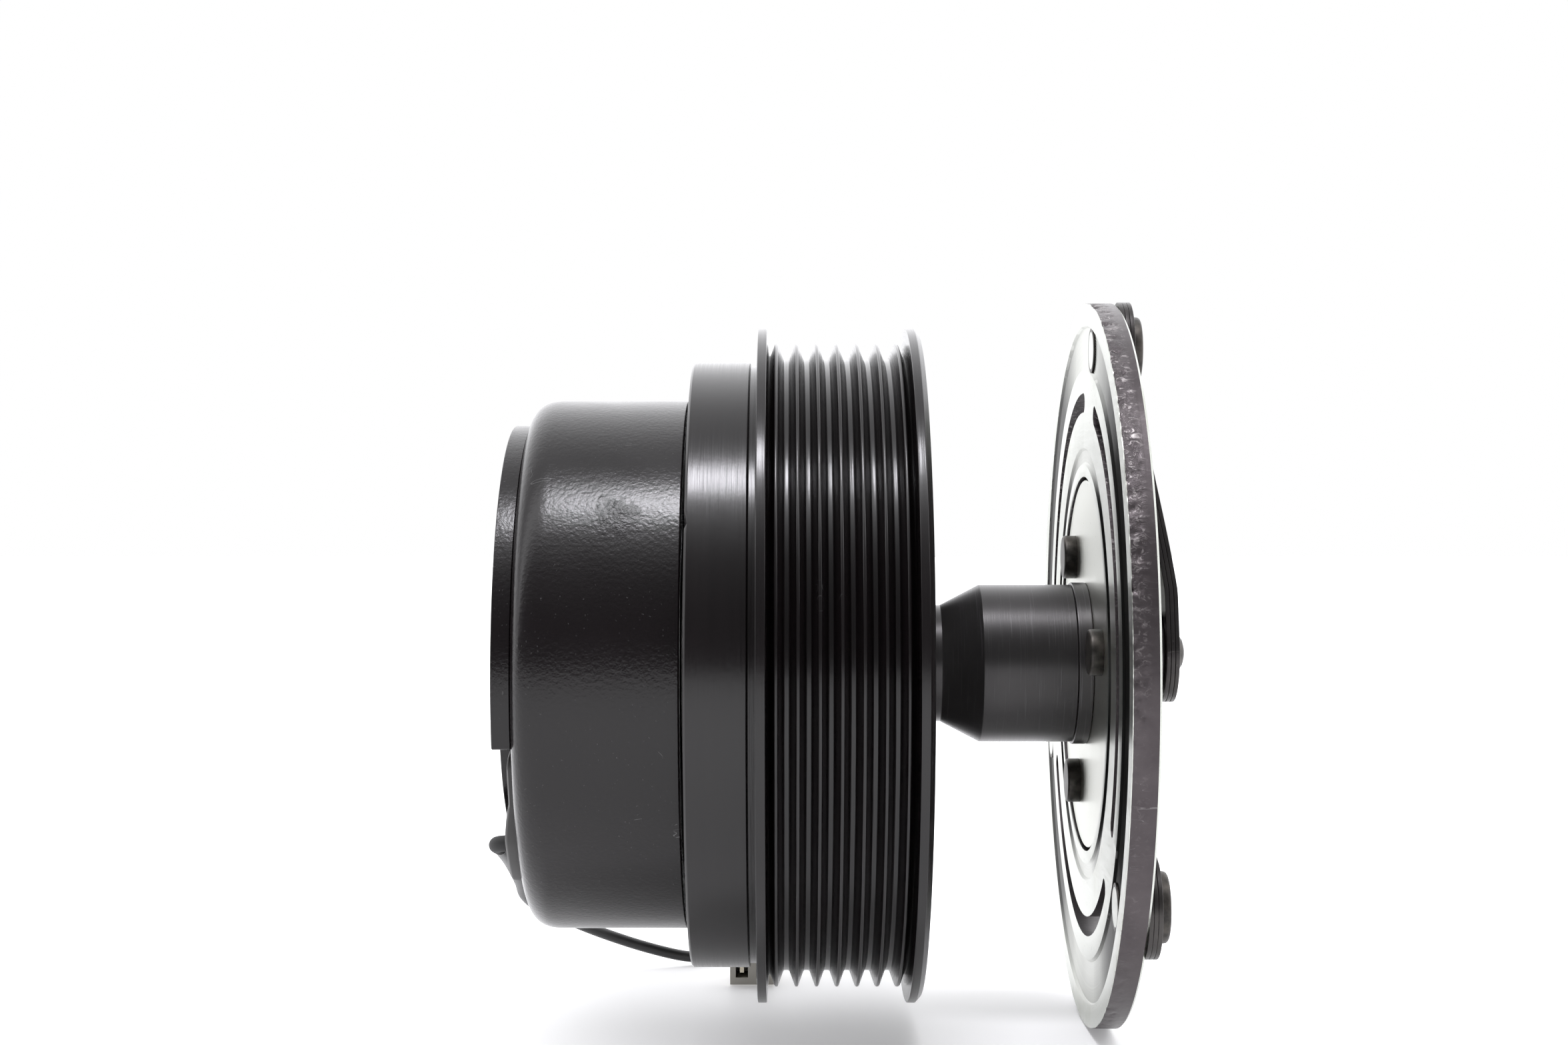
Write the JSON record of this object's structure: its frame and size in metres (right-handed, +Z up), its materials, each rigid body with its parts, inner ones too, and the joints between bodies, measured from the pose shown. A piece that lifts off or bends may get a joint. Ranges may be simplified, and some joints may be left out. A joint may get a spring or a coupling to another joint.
{
  "type": "electromagnetic clutch",
  "caption": "Electromagnetic clutch for a belt-driven compressor: field coil with lead, poly-V pulley on a ball bearing, and sprung armature on a splined hub, drawn apart along the shaft.",
  "frame": {"origin": "centre of the coil's mounting circle, on the mounting plate's rear face", "axes": "+X along the shaft from the coil towards the armature, +Z up; the lead leaves at the lower side towards -Y"},
  "size_m": [0.1195, 0.1338, 0.13],
  "materials": {
    "black_e_coat": "satin",
    "bobbin_nylon": "matt",
    "copper_wire": "enamelled",
    "potting_resin": "gloss",
    "moulded_black": "satin",
    "black_rubber": "matt",
    "wire_jacket": "satin",
    "connector_plastic": "satin",
    "tinned_brass": "bright",
    "bearing_steel": "ground",
    "ball_steel": "polished",
    "cage_steel": "pressed",
    "spring_steel": "dark oxide",
    "pulley_black": "gloss over turned steel",
    "bright_steel": "satin",
    "black_oxide": "black oxide over turned steel",
    "rivet_steel": "dark oxide",
    "ground_steel": "ground face, oxidised rim"
  },
  "bodies": {
    "coil": {"coil_housing": "black_e_coat", "coil_bobbin": "bobbin_nylon", "coil_winding": "copper_wire", "coil_potting": "potting_resin", "mounting_plate": "black_e_coat", "lead_cover": "moulded_black", "lead_grommet": "black_rubber", "lead_wire": "wire_jacket", "lead_connector": "connector_plastic", "connector_terminals": "tinned_brass"},
    "bearing_inner": {"bearing_inner_race": "bearing_steel"},
    "cage": {"ball_cage": "cage_steel", "bearing_balls": "ball_steel"},
    "pulley": {"pulley_rim": "pulley_black", "rotor_core": "pulley_black", "bearing_outer_race": "bearing_steel", "bearing_seal_front": "black_rubber", "bearing_seal_rear": "black_rubber", "bearing_snap_ring": "spring_steel"},
    "shims": {"gap_shims": "bright_steel"},
    "hub": {"hub": "black_oxide", "hub_flange": "bright_steel", "hub_rivets": "rivet_steel", "spring_spacers": "black_oxide", "leaf_spring_top": "spring_steel", "leaf_spring_near": "spring_steel", "leaf_spring_far": "spring_steel"},
    "armature": {"armature_plate": "ground_steel", "armature_rivets": "rivet_steel"}
  },
  "joints": [
    {"name": "pulley_fit", "type": "slide", "parent": "coil", "child": "bearing_inner", "axis": [-1, 0, 0], "range_m": [0, 0.0316]},
    {"name": "pulley_spin", "type": "hinge", "parent": "bearing_inner", "child": "pulley", "pos_m": [0.0544, 0, 0], "axis": [1, 0, 0], "continuous": true},
    {"name": "cage_spin", "type": "hinge", "parent": "bearing_inner", "child": "cage", "pos_m": [0.0544, 0, 0], "axis": [1, 0, 0], "continuous": true},
    {"name": "hub_fit", "type": "slide", "parent": "bearing_inner", "child": "shims", "axis": [-1, 0, 0], "range_m": [0, 0.02968]},
    {"name": "hub_spin", "type": "hinge", "parent": "shims", "child": "hub", "pos_m": [0.0715, 0, 0], "axis": [1, 0, 0], "continuous": true},
    {"name": "armature_pull", "type": "slide", "parent": "hub", "child": "armature", "axis": [-1, 0, 0], "range_m": [0, 0.0005], "stiffness_N_per_m": 12000, "deforming": ["leaf_spring_top", "leaf_spring_near", "leaf_spring_far"]}
  ],
  "couplings": [
    {"joint": "cage_spin", "follows": "pulley_spin", "ratio": 0.571}
  ]
}
